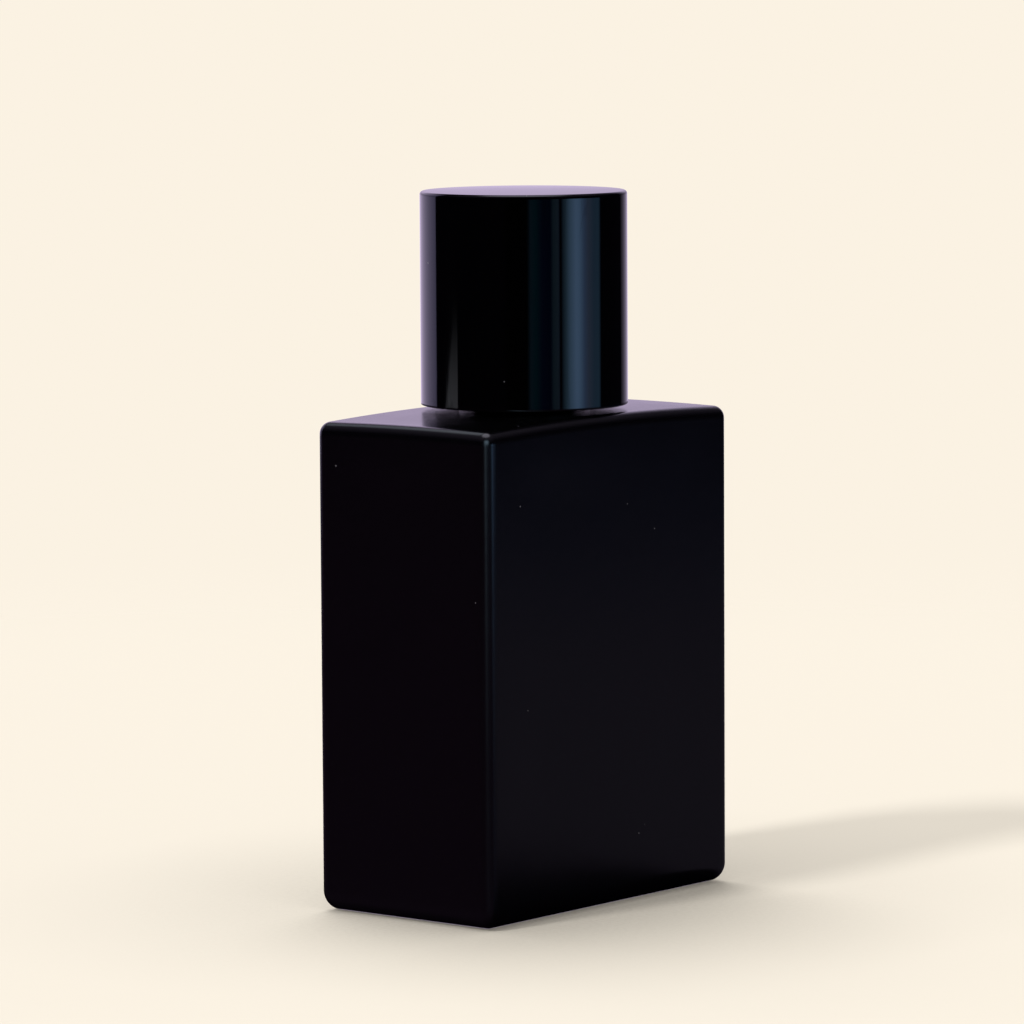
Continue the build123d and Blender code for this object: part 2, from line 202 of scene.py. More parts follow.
class Finish:
    # A material with one Principled shader, to which effects are added one by one
    def __init__(self, name, color, roughness, sockets):
        self.material = bpy.data.materials.new(name)
        self.material.use_nodes = True
        self.tree = self.material.node_tree
        self.shader = self.tree.nodes["Principled BSDF"]
        self.material.diffuse_color = (*color, 1.0)
        self.shader.inputs["Base Color"].default_value = (*color, 1.0)
        self.shader.inputs["Roughness"].default_value = roughness
        self.roughness = roughness
        self.height = None
        for label, value in sockets.items():
            self.shader.inputs[label].default_value = value

    def group(self, group, values):
        return addNode(self.tree, "ShaderNodeGroup", values, node_tree=group).outputs

    def tint(self, mask, color):
        # Puts color where mask is 1
        mix = addNode(self.tree, "ShaderNodeMix", data_type="RGBA")
        self.tree.links.new(mask, mix.inputs["Factor"])
        socket = self.shader.inputs["Base Color"]
        if socket.is_linked:
            self.tree.links.new(socket.links[0].from_socket, mix.inputs["A"])
        else:
            mix.inputs["A"].default_value = socket.default_value
        mix.inputs["B"].default_value = (*color, 1.0)
        self.tree.links.new(mix.outputs["Result"], socket)

    def roughen(self, value, amount):
        # Adds amount times value to the roughness
        part = addMath(self.tree, "MULTIPLY", value, amount)
        socket = self.shader.inputs["Roughness"]
        before = socket.links[0].from_socket if socket.is_linked else self.roughness
        self.tree.links.new(addMath(self.tree, "ADD", part, before, clamp=True), socket)

    def bump(self, value, depth):
        # Each call is one more layer, with depth in metres
        node = addNode(self.tree, "ShaderNodeBump", {"Strength": 1.0, "Distance": depth})
        self.tree.links.new(value, node.inputs["Height"])
        if self.height:
            self.tree.links.new(self.height, node.inputs["Normal"])
        self.height = node.outputs["Normal"]
        self.tree.links.new(self.height, self.shader.inputs["Normal"])


lacquerLook = {
    "color": (0.0007, 0.0005, 0.0013),
    "roughness": 0.17,
    "unevenness": 0.06,  # added to the roughness in broad patches
    "grainDepth": 0.0016 * mm,
    "peelDepth": 0.012 * mm,
    "dust": 0.05,
    "dustColor": (0.09, 0.088, 0.1),
}


def makeSatinLacquer():
    look = lacquerLook
    finish = Finish("satinLacquer", look["color"], look["roughness"], {"IOR": 1.5})
    grain = finish.group(grainGroup, {"Fine Scale": 9000.0, "Broad Scale": 130.0})
    finish.roughen(grain["Broad"], look["unevenness"])
    peel = finish.group(grainGroup, {"Fine Scale": 900.0, "Broad Scale": 420.0})
    finish.bump(peel["Broad"], look["peelDepth"])
    finish.bump(grain["Fine"], look["grainDepth"])
    dust = finish.group(dustGroup, {"Scale": 1300.0, "Amount": look["dust"], "Walls": 0.06})["Mask"]
    finish.tint(dust, look["dustColor"])
    finish.roughen(dust, 0.4)
    return finish.material


capLook = {
    "color": (0.0002, 0.0002, 0.0003),
    "roughness": 0.045,
    "unevenness": 0.02,
    "waveDepth": 0.0015 * mm,
    "hairlines": 0.05,
    "dust": 0.16,
    "dustColor": (0.22, 0.22, 0.24),
}


def makeCapGloss():
    look = capLook
    finish = Finish("capGloss", look["color"], look["roughness"], {"IOR": 1.5})
    grain = finish.group(grainGroup, {"Fine Scale": 2600.0, "Broad Scale": 190.0})
    finish.roughen(grain["Broad"], look["unevenness"])
    finish.bump(grain["Broad"], look["waveDepth"])
    finish.roughen(finish.group(hairlineGroup, {"Scale": 330.0, "Width": 0.008})["Mask"], look["hairlines"])
    dust = finish.group(dustGroup, {"Scale": 1500.0, "Amount": look["dust"], "Walls": 0.02})["Mask"]
    finish.tint(dust, look["dustColor"])
    finish.roughen(dust, 0.5)
    return finish.material


def makeGlossPlastic(name, color, roughness, grainDepth):
    finish = Finish(name, color, roughness, {"IOR": 1.49})
    grain = finish.group(grainGroup, {"Fine Scale": 3200.0, "Broad Scale": 260.0})
    finish.roughen(grain["Broad"], 0.05)
    finish.bump(grain["Fine"], grainDepth)
    finish.roughen(finish.group(hairlineGroup, {"Scale": 420.0, "Width": 0.01})["Mask"], 0.08)
    dust = finish.group(dustGroup, {"Scale": 1700.0, "Amount": 0.08, "Walls": 0.05})["Mask"]
    finish.tint(dust, (0.2, 0.2, 0.22))
    return finish.material


def makeMouldedPlastic(name, color, shade, roughness, sockets=None):
    # Natural or coloured polymer, with flow unevenness and a slightly spark-eroded skin
    finish = Finish(name, color, roughness, sockets or {"IOR": 1.49})
    grain = finish.group(grainGroup, {"Fine Scale": 5200.0, "Broad Scale": 340.0})
    finish.tint(addRange(finish.tree, grain["Broad"], 0.35, 0.7), shade)
    finish.roughen(grain["Fine"], 0.12)
    finish.bump(grain["Fine"], 0.004 * mm)
    return finish.material


def makeRubber():
    finish = Finish("gasketRubber", (0.022, 0.022, 0.024), 0.62, {"IOR": 1.52})
    grain = finish.group(grainGroup, {"Fine Scale": 6800.0, "Broad Scale": 520.0})
    finish.tint(addRange(finish.tree, grain["Fine"], 0.55, 0.7), (0.05, 0.05, 0.052))
    finish.roughen(grain["Broad"], 0.2)
    finish.bump(grain["Fine"], 0.012 * mm)
    return finish.material


def makeMetal(name, color, shade, roughness, ringScale, ringDepth):
    finish = Finish(name, color, roughness, {"Metallic": 1.0})
    rings = finish.group(turningGroup, {"Scale": ringScale})["Rings"]
    grain = finish.group(grainGroup, {"Fine Scale": 7000.0, "Broad Scale": 300.0})
    finish.tint(addRange(finish.tree, grain["Broad"], 0.45, 0.75), shade)
    finish.roughen(rings, 0.18)
    finish.bump(rings, ringDepth)
    finish.bump(grain["Fine"], 0.001 * mm)
    return finish.material


def makeBlackAluminium():
    finish = Finish("blackAluminium", (0.0045, 0.0045, 0.0055), 0.1,
                    {"IOR": 1.5, "Coat Weight": 0.6, "Coat Roughness": 0.05})
    finish.roughen(finish.group(turningGroup, {"Scale": 2600.0})["Rings"], 0.12)
    finish.bump(finish.group(turningGroup, {"Scale": 1900.0})["Rings"], 0.002 * mm)
    finish.roughen(finish.group(hairlineGroup, {"Scale": 380.0, "Width": 0.01})["Mask"], 0.1)
    dust = finish.group(dustGroup, {"Scale": 1700.0, "Amount": 0.1, "Walls": 0.05})["Mask"]
    finish.tint(dust, (0.2, 0.2, 0.22))
    return finish.material


satinLacquer = makeSatinLacquer()
capGloss = makeCapGloss()
buttonGloss = makeGlossPlastic("buttonGloss", (0.003, 0.003, 0.0038), 0.09, 0.0015 * mm)
nozzleBlack = makeGlossPlastic("nozzleBlack", (0.006, 0.006, 0.007), 0.28, 0.003 * mm)
linerBlack = makeMouldedPlastic("linerBlack", (0.006, 0.006, 0.0072), (0.009, 0.009, 0.0105), 0.4)
pumpWhite = makeMouldedPlastic("pumpWhite", (0.78, 0.78, 0.75), (0.7, 0.7, 0.68), 0.38)
tubeClear = makeMouldedPlastic("tubeClear", (0.86, 0.88, 0.88), (0.8, 0.82, 0.83), 0.24,
                               {"IOR": 1.5, "Transmission Weight": 0.65})
gasketRubber = makeRubber()
ferruleAluminium = makeMetal("ferruleAluminium", (0.72, 0.73, 0.75), (0.6, 0.61, 0.63), 0.2,
                             2600.0, 0.003 * mm)
springSteel = makeMetal("springSteel", (0.56, 0.57, 0.58), (0.42, 0.42, 0.43), 0.16, 5200.0, 0.001 * mm)
blackAluminium = makeBlackAluminium()

nodeFinishes = {
    "neck_gasket": gasketRubber,
    "crimp_ferrule": ferruleAluminium,
    "pump_housing": pumpWhite,
    "turret": pumpWhite,
    "stem_seal": gasketRubber,
    "dip_tube": tubeClear,
    "inlet_ball": springSteel,
    "piston": pumpWhite,
    "pump_stem": pumpWhite,
    "actuator_core": linerBlack,
    "nozzle_insert": nozzleBlack,
    "actuator_shell": buttonGloss,
    "collar_insert": linerBlack,
    "cap_liner": linerBlack,
}
for nodeName, finish in nodeFinishes.items():
    for materialSlot in nodes[nodeName].material_slots:
        materialSlot.material = finish
print("finishes assigned to", len(nodeFinishes), "nodes")


def spread(steps, hold):
    # Shares from 0 to 1, with one short step at each end so that flats shade flat
    inner = [hold + (1 - 2 * hold) * step / steps for step in range(steps + 1)]
    return [0.0, *inner, 1.0]


def quarter(steps):
    # The angles of a quarter turn
    return [math.radians(90 * step / steps) for step in range(steps + 1)]


def meshFromRings(name, rings, poles):
    # Rings of equal length become one closed skin, with a fan to a pole at each end
    count = len(rings[0])
    points = [point for ring in rings for point in ring] + list(poles)
    faces = []
    for ring in range(len(rings) - 1):
        for step in range(count):
            after = (step + 1) % count
            faces.append((ring * count + step, ring * count + after,
                          (ring + 1) * count + after, (ring + 1) * count + step))
    firstPole, lastPole = len(points) - 2, len(points) - 1
    lastRing = (len(rings) - 1) * count
    for step in range(count):
        after = (step + 1) % count
        faces.append((firstPole, after, step))
        faces.append((lastPole, lastRing + step, lastRing + after))
    mesh = bpy.data.meshes.new(name)
    mesh.from_pydata([tuple(point) for point in points], [], faces)
    return mesh


def finishPiece(name, mesh, material, body, slotName, *replaced, sharpAngle=38):
    mesh.materials.clear()
    mesh.materials.append(material)
    mesh.shade_smooth()
    mesh.set_sharp_from_angle(angle=math.radians(sharpAngle))
    piece = bpy.data.objects.new(name, mesh)
    bpy.context.scene.collection.objects.link(piece)
    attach(piece, body)
    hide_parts(*replaced)
    return piece


glass = {
    "crownRise": 0.87 * mm,  # the shoulder's middle above its corners
    "corner": 1.7 * mm,
    "shoulderEdge": 1.6 * mm,
    "heel": 2.8 * mm,
    "frontWall": 3.8 * mm,
    "sideWall": 4.5 * mm,
    "base": 9.0 * mm,
    "shoulder": 4.6 * mm,
    "cavityCorner": 6.0 * mm,
    "cavityEdge": 3.0 * mm,
    "puntInset": 6.1 * mm,
    "puntHeight": 0.6 * mm,
    "puntDraft": 0.45 * mm,
    "ringFlat": 0.1 * mm,  # the standing ring's flat before the heel turns up
    "neck": 6.65 * mm,
    "bead": 7.5 * mm,
    "bore": 4.9 * mm,
    "neckHeight": 7.0 * mm,
    "beadHeight": 2.9 * mm,
    "undercut": 0.7 * mm,
    "lip": 0.5 * mm,
    "boreEdge": 0.3 * mm,
    "mouthEdge": 0.4 * mm,
    "neckRoot": 0.5 * mm,
    "sink": 0.14 * mm,  # how far the walls dip between their edges, as pressed glass does
    "sinkSize": 24 * mm,
    "sinkStart": 3 * mm,  # from a wall's edge
    "sinkEase": 9 * mm,
}


def roundedLoop(halfX, halfY, corner, steps=(24, 13, 9)):
    # A rounded rectangle as points, anticlockwise, with the same count for every size
    wide, deep, turn = steps
    loop = []
    sides = (
        ((halfX - corner, -halfY + corner), -90, Vector((0, 1)), 2 * (halfY - corner), deep),
        ((halfX - corner, halfY - corner), 0, Vector((-1, 0)), 2 * (halfX - corner), wide),
        ((-halfX + corner, halfY - corner), 90, Vector((0, -1)), 2 * (halfY - corner), deep),
        ((-halfX + corner, -halfY + corner), 180, Vector((1, 0)), 2 * (halfX - corner), wide),
    )
    for centre, start, along, length, count in sides:
        for step in range(turn + 1):
            angle = math.radians(start + 90 * step / turn)
            loop.append(Vector((centre[0] + corner * math.cos(angle), centre[1] + corner * math.sin(angle))))
        last = loop[-1]
        loop.extend(last + along * length * share for share in spread(count, 0.006)[1:-1])
    return loop


def makeGlass():
    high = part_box("glass_bottle")[1]
    size = glass
    halfX, halfY, lipZ = high.x, high.y, high.z
    crownZ = lipZ - size["neckHeight"]
    diagonal = math.hypot(halfX, halfY)
    crownRadius = (diagonal ** 2 + size["crownRise"] ** 2) / (2 * size["crownRise"])

    def crown(point):
        return crownZ - crownRadius + math.sqrt(crownRadius ** 2 - point.length_squared)

    def outer(inset):
        return roundedLoop(halfX - inset, halfY - inset, max(size["corner"] - inset, 0.12 * mm))

    def inner(inset):
        return roundedLoop(halfX - size["sideWall"] - inset, halfY - size["frontWall"] - inset,
                           max(size["cavityCorner"] - inset, 0.5 * mm))

    def at(loop, z):
        return [(point.x, point.y, z) for point in loop]

    def circle(loop, radius):
        return [point.normalized() * radius for point in loop]

    rings = []
    # underside: punt, standing ring, heel
    puntFoot = outer(size["puntInset"])
    puntTop = outer(size["puntInset"] + size["puntDraft"])
    rings.append(at([point * 0.5 for point in puntTop], size["puntHeight"]))
    rings.append(at(puntTop, size["puntHeight"]))
    rings.append(at(puntFoot, 0.0))
    heel = size["heel"]
    rings.append(at(outer(heel + size["ringFlat"]), 0.0))
    for angle in quarter(12):
        rings.append(at(outer(heel * (1 - math.sin(angle))), heel * (1 - math.cos(angle))))
    # walls
    wall = outer(0.0)
    edge = size["shoulderEdge"]
    for share in spread(34, 0.004)[1:-1]:
        rings.append([(p.x, p.y, heel + (crown(p) - edge - heel) * share) for p in wall])
    # shoulder edge, then the crowned shoulder in to the neck
    for angle in quarter(10):
        loop = outer(edge * (1 - math.cos(angle)))
        rings.append([(p.x, p.y, crown(p) - edge * (1 - math.sin(angle))) for p in loop])
    shoulder = outer(edge)
    root = size["neckRoot"]
    neckFoot = circle(shoulder, size["neck"] + root)
    for share in (0.006, 0.08, 0.18, 0.3, 0.44, 0.58, 0.72, 0.86, 0.97, 1.0):
        loop = [a.lerp(b, share) for a, b in zip(shoulder, neckFoot)]
        rings.append([(p.x, p.y, crown(p)) for p in loop])
    # neck, bead, lip and bore as (radius, height)
    beadZ = lipZ - size["beadHeight"]
    cavityTop = crownZ - size["shoulder"]
    neck, bead, bore, lip = size["neck"], size["bead"], size["bore"], size["lip"]
    profile = [(neck + root * (1 - math.sin(angle)), crownZ + root * (1 - math.cos(angle)))
               for angle in quarter(6)[1:]]
    profile += [(neck, beadZ - size["undercut"]), (bead, beadZ), (bead, lipZ - lip)]
    profile += [(bead - lip * (1 - math.cos(angle)), lipZ - lip * (1 - math.sin(angle)))
                for angle in quarter(5)[1:]]
    profile += [(bore + size["boreEdge"], lipZ), (bore, lipZ - size["boreEdge"])]
    profile.append((bore, cavityTop + size["mouthEdge"]))
    for radius, z in profile:
        rings.append(at(circle(shoulder, radius), z))
    # cavity
    soft = size["cavityEdge"]
    ceiling = inner(soft)
    mouth = circle(shoulder, bore + size["mouthEdge"])
    for share in (0.0, 0.3, 0.65, 0.98):
        rings.append(at([a.lerp(b, share) for a, b in zip(mouth, ceiling)], cavityTop))
    for angle in quarter(8):
        rings.append(at(inner(soft * (1 - math.sin(angle))), cavityTop - soft * (1 - math.cos(angle))))
    floorZ = size["base"]
    for share in spread(12, 0.01)[1:-1]:
        rings.append(at(inner(0.0), cavityTop - soft + (floorZ + 2 * soft - cavityTop) * share))
    for angle in quarter(8):
        rings.append(at(inner(soft * (1 - math.cos(angle))), floorZ + soft * (1 - math.sin(angle))))
    rings.append(at([point * 0.5 for point in inner(soft)], floorZ))
    mesh = meshFromRings("glassBottle", rings, ((0, 0, size["puntHeight"]), (0, 0, floorZ)))

    # the walls dip a little and unevenly between their edges, always inwards
    for vertex in mesh.vertices:
        x, y, z = vertex.co
        onSide, onFront = abs(x) > halfX - 1e-6, abs(y) > halfY - 1e-6
        if not (onSide or onFront):
            continue
        across = halfY - abs(y) if onSide else halfX - abs(x)
        fromEdge = min(across, z, crownZ - z) - size["sinkStart"]
        ease = min(max(fromEdge / size["sinkEase"], 0.0), 1.0)
        ease = ease * ease * (3 - 2 * ease)
        wave = 0.5 + 0.5 * noise.noise(vertex.co / size["sinkSize"] + Vector((3.1, 7.7, 1.3)))
        dip = size["sink"] * ease * wave
        if onSide:
            vertex.co.x -= math.copysign(dip, x)
        else:
            vertex.co.y -= math.copysign(dip, y)
    return finishPiece("glass_body", mesh, satinLacquer, "bottle", "lacquered_glass", "glass_bottle")


glassBody = makeGlass()
print("glass body:", len(glassBody.data.polygons), "faces")


def newGeometryTree(name, inputs):
    tree = bpy.data.node_groups.new(name, "GeometryNodeTree")
    tree.interface.new_socket("Geometry", in_out="INPUT", socket_type="NodeSocketGeometry")
    for label, (kind, value) in inputs.items():
        socket = tree.interface.new_socket(label, in_out="INPUT", socket_type="NodeSocket" + kind)
        if value is not None:
            socket.default_value = value
    tree.interface.new_socket("Geometry", in_out="OUTPUT", socket_type="NodeSocketGeometry")
    return tree, addNode(tree, "NodeGroupInput").outputs, addNode(tree, "NodeGroupOutput").inputs


def makeTurnedTree():
    # Turns a profile of points about the Z axis, and rounds each point by its curve radius
    tree, given, out = newGeometryTree("turnedPiece", {
        "Segments": ("Int", 192), "Edge Steps": ("Int", 6), "Axis Offset": ("Float", 0.02),
        "Material": ("Material", None)})
    link = tree.links.new
    rounding = addNode(tree, "GeometryNodeInputRadius")
    fillet = addNode(tree, "GeometryNodeFilletCurve")
    fillet.inputs["Limit Radius"].default_value = True
    fillet.mode = "POLY"
    link(given["Geometry"], fillet.inputs["Curve"])
    link(rounding.outputs["Radius"], fillet.inputs["Radius"])
    link(given["Edge Steps"], fillet.inputs["Count"])
    path = addNode(tree, "GeometryNodeCurvePrimitiveCircle")
    link(given["Segments"], path.inputs["Resolution"])
    link(given["Axis Offset"], path.inputs["Radius"])
    thin = addNode(tree, "GeometryNodeSetCurveRadius", {"Radius": 1.0})
    link(path.outputs["Curve"], thin.inputs["Curve"])
    sweep = addNode(tree, "GeometryNodeCurveToMesh")
    link(thin.outputs["Curve"], sweep.inputs["Curve"])
    link(fillet.outputs["Curve"], sweep.inputs["Profile Curve"])
    merge = addNode(tree, "GeometryNodeMergeByDistance", {"Distance": 0.000002})
    link(sweep.outputs["Mesh"], merge.inputs["Geometry"])
    realize = addNode(tree, "GeometryNodeRealizeInstances")
    link(merge.outputs["Geometry"], realize.inputs["Geometry"])
    dress = addNode(tree, "GeometryNodeSetMaterial")
    link(realize.outputs["Geometry"], dress.inputs["Geometry"])
    link(given["Material"], dress.inputs["Material"])
    link(dress.outputs["Geometry"], out["Geometry"])
    return tree


def bakeTree(source, tree, values):
    # Runs the tree on source and returns the result as a plain mesh
    bpy.context.scene.collection.objects.link(source)
    modifier = source.modifiers.new("shape", "NODES")
    modifier.node_group = tree
    identifiers = {item.name: item.identifier for item in tree.interface.items_tree
                   if item.item_type == "SOCKET" and item.in_out == "INPUT"}
    for label, value in values.items():
        modifier[identifiers[label]] = value
    source.update_tag()
    graph = bpy.context.evaluated_depsgraph_get()
    graph.update()
    mesh = bpy.data.meshes.new_from_object(source.evaluated_get(graph), depsgraph=graph)
    source.modifiers.remove(modifier)
    bpy.data.objects.remove(source)
    return mesh


turnedTree = makeTurnedTree()


def turnMesh(name, profile, material, segments=192, edgeSteps=6):
    # The profile is a list of (radius, height, rounding)
    offset = 0.02  # the profile is written about a circle this large
    curve = bpy.data.curves.new(name + "Profile", "CURVE")
    curve.dimensions = "3D"
    spline = curve.splines.new("POLY")
    spline.points.add(len(profile) - 1)
    for point, (radius, z, rounding) in zip(spline.points, profile):
        point.co = (radius - offset, -z, 0, 1)
        point.radius = rounding
    spline.use_cyclic_u = profile[0][0] > 0
    source = bpy.data.objects.new(name + "Source", curve)
    mesh = bakeTree(source, turnedTree, {"Segments": segments, "Edge Steps": edgeSteps, "Axis Offset": offset,
                                         "Material": material})
    mesh.name = name
    return mesh


cap = {
    "wall": 1.8 * mm,
    "topWall": 1.6 * mm,
    "crown": 0.12 * mm,  # the top's middle above its rim
    "edge": 0.5 * mm,
    "crownSteps": 12,
    "footEdge": 0.2 * mm,
    "boreEdge": 0.1 * mm,
    "ceilingEdge": 0.3 * mm,
    "hold": 0.12 * mm,  # flats keep flat shading from here on
}


def makeCapShell():
    low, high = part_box("cap_shell")
    radius, foot, top = high.x, low.z, high.z
    bore, ceiling = radius - cap["wall"], top - cap["topWall"]
    edge, hold = cap["edge"], cap["hold"]
    rim = top - cap["crown"]
    flat = radius - edge - hold
    steps = cap["crownSteps"]
    profile = [(flat * step / steps, top - cap["crown"] * (step / steps) ** 2, 0)
               for step in range(steps + 1)]
    profile += [
        (radius, rim, edge),
        (radius, rim - edge - hold, 0),
        (radius, foot + cap["footEdge"] + hold, 0),
        (radius, foot, cap["footEdge"]),
        (bore, foot, cap["boreEdge"]),
        (bore, ceiling, cap["ceilingEdge"]),
        (0, ceiling, 0),
    ]
    mesh = turnMesh("capShell", profile, capGloss, segments=256, edgeSteps=8)
    return finishPiece("cap_outer", mesh, capGloss, "cap", "cap_gloss", "cap_shell")


collar = {
    "wall": 0.5 * mm,
    "edge": 0.42 * mm,
    "footEdge": 0.12 * mm,
    "footFlat": 0.3 * mm,
    "throatGap": 0.35 * mm,  # round the button
    "throatFlat": 0.25 * mm,
    "throatEdge": 0.16 * mm,
    "underEdge": 0.1 * mm,
    "innerCorner": 0.2 * mm,
    "innerFoot": 0.08 * mm,
    "hold": 0.08 * mm,
}


def makeCollar():
    low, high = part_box("collar_sleeve")
    radius, foot, top = high.x, low.z, high.z
    wall, edge, hold = collar["wall"], collar["edge"], collar["hold"]
    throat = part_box("actuator_shell")[1].x + collar["throatGap"]
    profile = [
        (radius, foot, collar["footEdge"]),
        (radius, foot + collar["footFlat"], 0),
        (radius, top - edge - hold, 0),
        (radius, top, edge),
        (radius - edge - hold, top, 0),
        (throat + collar["throatFlat"], top, 0),
        (throat, top, collar["throatEdge"]),
        (throat, top - wall, collar["underEdge"]),
        (radius - wall, top - wall, collar["innerCorner"]),
        (radius - wall, foot, collar["innerFoot"]),
    ]
    mesh = turnMesh("collarSleeve", profile, blackAluminium, segments=192)
    return finishPiece("collar_outer", mesh, blackAluminium, "bottle", "black_aluminium", "collar_sleeve")


capOuter = makeCapShell()
collarOuter = makeCollar()
print("turned pieces:", len(capOuter.data.polygons), "and", len(collarOuter.data.polygons), "faces")


spring = {
    "activeTurns": 6.5,
    "closedTurns": 1.25,
    "closedRise": 1.15,  # of each closed end, in wire thicknesses
    "wire": 0.5 * mm,
    "slack": 0.02 * mm,  # inside the piece's outline
    "stepsPerTurn": 28,
    "wireSides": 14,
}


def makeSpringTree():
    tree, given, out = newGeometryTree("woundSpring", {
        "Wire": ("Float", spring["wire"]), "Coil Radius": ("Float", 0.002), "Length": ("Float", 0.011),
        "Foot": ("Float", 0.0), "Active Turns": ("Float", 6.0), "Closed Turns": ("Float", 1.0),
        "Steps": ("Int", 300), "Wire Sides": ("Int", 12), "Material": ("Material", None)})
    link = tree.links.new
    closedBoth = addMath(tree, "MULTIPLY", given["Closed Turns"], 2.0)
    turns = addMath(tree, "ADD", given["Active Turns"], closedBoth)
    helix = addNode(tree, "GeometryNodeCurveSpiral", {"Height": 0.0})
    link(given["Steps"], helix.inputs["Resolution"])
    link(turns, helix.inputs["Rotations"])
    link(given["Coil Radius"], helix.inputs["Start Radius"])
    link(given["Coil Radius"], helix.inputs["End Radius"])
    # height along the wire: a wire's thickness over each closed end, the rest over the active turns
    along = addNode(tree, "GeometryNodeSplineParameter").outputs["Factor"]
    share = addMath(tree, "DIVIDE", given["Closed Turns"], turns)
    rest = addMath(tree, "SUBTRACT", 1.0, share)
    first = addRange(tree, along, 0.0, share, smooth=False)
    middle = addRange(tree, along, share, rest, smooth=False)
    last = addRange(tree, along, rest, 1.0, smooth=False)
    closedRise = addMath(tree, "MULTIPLY", given["Wire"], spring["closedRise"])
    closed = addMath(tree, "MULTIPLY", addMath(tree, "ADD", first, last), closedRise)
    ends = addMath(tree, "MULTIPLY", given["Wire"], 2 * spring["closedRise"] + 1)
    opened = addMath(tree, "MULTIPLY", middle, addMath(tree, "SUBTRACT", given["Length"], ends))
    wireRadius = addMath(tree, "MULTIPLY", given["Wire"], 0.5)
    start = addMath(tree, "ADD", given["Foot"], wireRadius)
    height = addMath(tree, "ADD", addMath(tree, "ADD", closed, opened), start)
    lift = addNode(tree, "ShaderNodeCombineXYZ")
    link(height, lift.inputs["Z"])
    place = addNode(tree, "GeometryNodeSetPosition")
    link(helix.outputs["Curve"], place.inputs["Geometry"])
    link(lift.outputs["Vector"], place.inputs["Offset"])
    section = addNode(tree, "GeometryNodeCurvePrimitiveCircle")
    link(given["Wire Sides"], section.inputs["Resolution"])
    link(wireRadius, section.inputs["Radius"])
    sweep = addNode(tree, "GeometryNodeCurveToMesh", {"Fill Caps": True})
    link(place.outputs["Geometry"], sweep.inputs["Curve"])
    link(section.outputs["Curve"], sweep.inputs["Profile Curve"])
    realize = addNode(tree, "GeometryNodeRealizeInstances")
    link(sweep.outputs["Mesh"], realize.inputs["Geometry"])
    dress = addNode(tree, "GeometryNodeSetMaterial")
    link(realize.outputs["Geometry"], dress.inputs["Geometry"])
    link(given["Material"], dress.inputs["Material"])
    link(dress.outputs["Geometry"], out["Geometry"])
    return tree


def makeSpring():
    low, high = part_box("return_spring")
    length = high.z - low.z
    turns = spring["activeTurns"] + 2 * spring["closedTurns"]
    source = bpy.data.objects.new("springSource", bpy.data.meshes.new("springSource"))
    mesh = bakeTree(source, makeSpringTree(), {
        "Wire": spring["wire"],
        "Coil Radius": high.x - spring["wire"] / 2 - spring["slack"],
        "Length": length,
        "Foot": low.z,
        "Active Turns": spring["activeTurns"],
        "Closed Turns": spring["closedTurns"],
        "Steps": int(turns * spring["stepsPerTurn"]),
        "Wire Sides": spring["wireSides"],
        "Material": springSteel,
    })
    mesh.name = "returnSpring"
    piece = finishPiece("coil_spring", mesh, springSteel, "bottle", "spring_steel", "return_spring",
                        sharpAngle=60)
    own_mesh(piece)
    return piece


coilSpring = makeSpring()
print("spring:", len(coilSpring.data.polygons), "faces")


shot = {
    "azimuth": -51.262,  # degrees, 0 looks along +Y
    "elevation": 6.176,
    "distance": 0.8259,
    "centre": Vector((0, 0, 0.050)),
    "aimRight": -1.83 * mm,  # where the view's middle passes the bottle
    "aimUp": 4.26 * mm,
    "roll": -0.327,
    "lens": 207.47,
}


def directionAt(azimuth, elevation=0.0):
    a, e = math.radians(azimuth), math.radians(elevation)
    return Vector((math.sin(a) * math.cos(e), -math.cos(a) * math.cos(e), math.sin(e)))


def makeCamera():
    back = directionAt(shot["azimuth"], shot["elevation"])
    right = Vector((0, 0, 1)).cross(back).normalized()
    up = back.cross(right)
    location = shot["centre"] + back * shot["distance"]
    aim = shot["centre"] + right * shot["aimRight"] + up * shot["aimUp"]
    forward = (aim - location).normalized()
    side = forward.cross(Vector((0, 0, 1))).normalized()
    top = side.cross(forward)
    roll = math.radians(shot["roll"])
    turnedSide = side * math.cos(roll) + top * math.sin(roll)
    turnedTop = top * math.cos(roll) - side * math.sin(roll)
    camera = bpy.data.objects.new("camera", bpy.data.cameras.new("camera"))
    camera.data.lens = shot["lens"]
    camera.data.sensor_width = 36.0
    camera.data.clip_start, camera.data.clip_end = 0.05, 20.0
    axes = Matrix((turnedSide, turnedTop, -forward)).transposed().to_4x4()
    camera.matrix_world = Matrix.Translation(location) @ axes
    bpy.context.scene.collection.objects.link(camera)
    bpy.context.scene.camera = camera


makeCamera()
bpy.context.scene.view_settings.view_transform = "Standard"


room = {
    "backdrop": (0.965, 0.888, 0.767),  # what the camera sees past the table
    "ambient": 0.95,
    "tableColor": (0.8, 0.736, 0.636),
    "tableGain": 0.24,  # the share of the table's colour that takes light and shade
    "tableGlow": 0.36875,  # the rest of its brightness, even all over
    "solidTable": 0.27,  # radius up to which the table is solid
    "tableEdge": 0.46,  # and where it has faded into the backdrop
    "tableHalf": 0.6,
    "tableLevel": -0.05 * mm,
    # contactReach and speckle shape a painted contact shade: near the bottle, ambient occlusion darkens the
    # table's colour, not light
    "contactReach": 0.06,  # how far the bottle darkens the table
    "speckleScale": 1500.0,
    "speckle": (0.48, 0.6),  # least and most of that darkening, from speck to speck
    "sheenOverhead": (0.16, 0.14, 0.19),
    "sheenSides": (0.004, 0.003, 0.007),
    "sheenRise": (0.25, 0.95),  # from the one to the other, by a ray's upward part
}


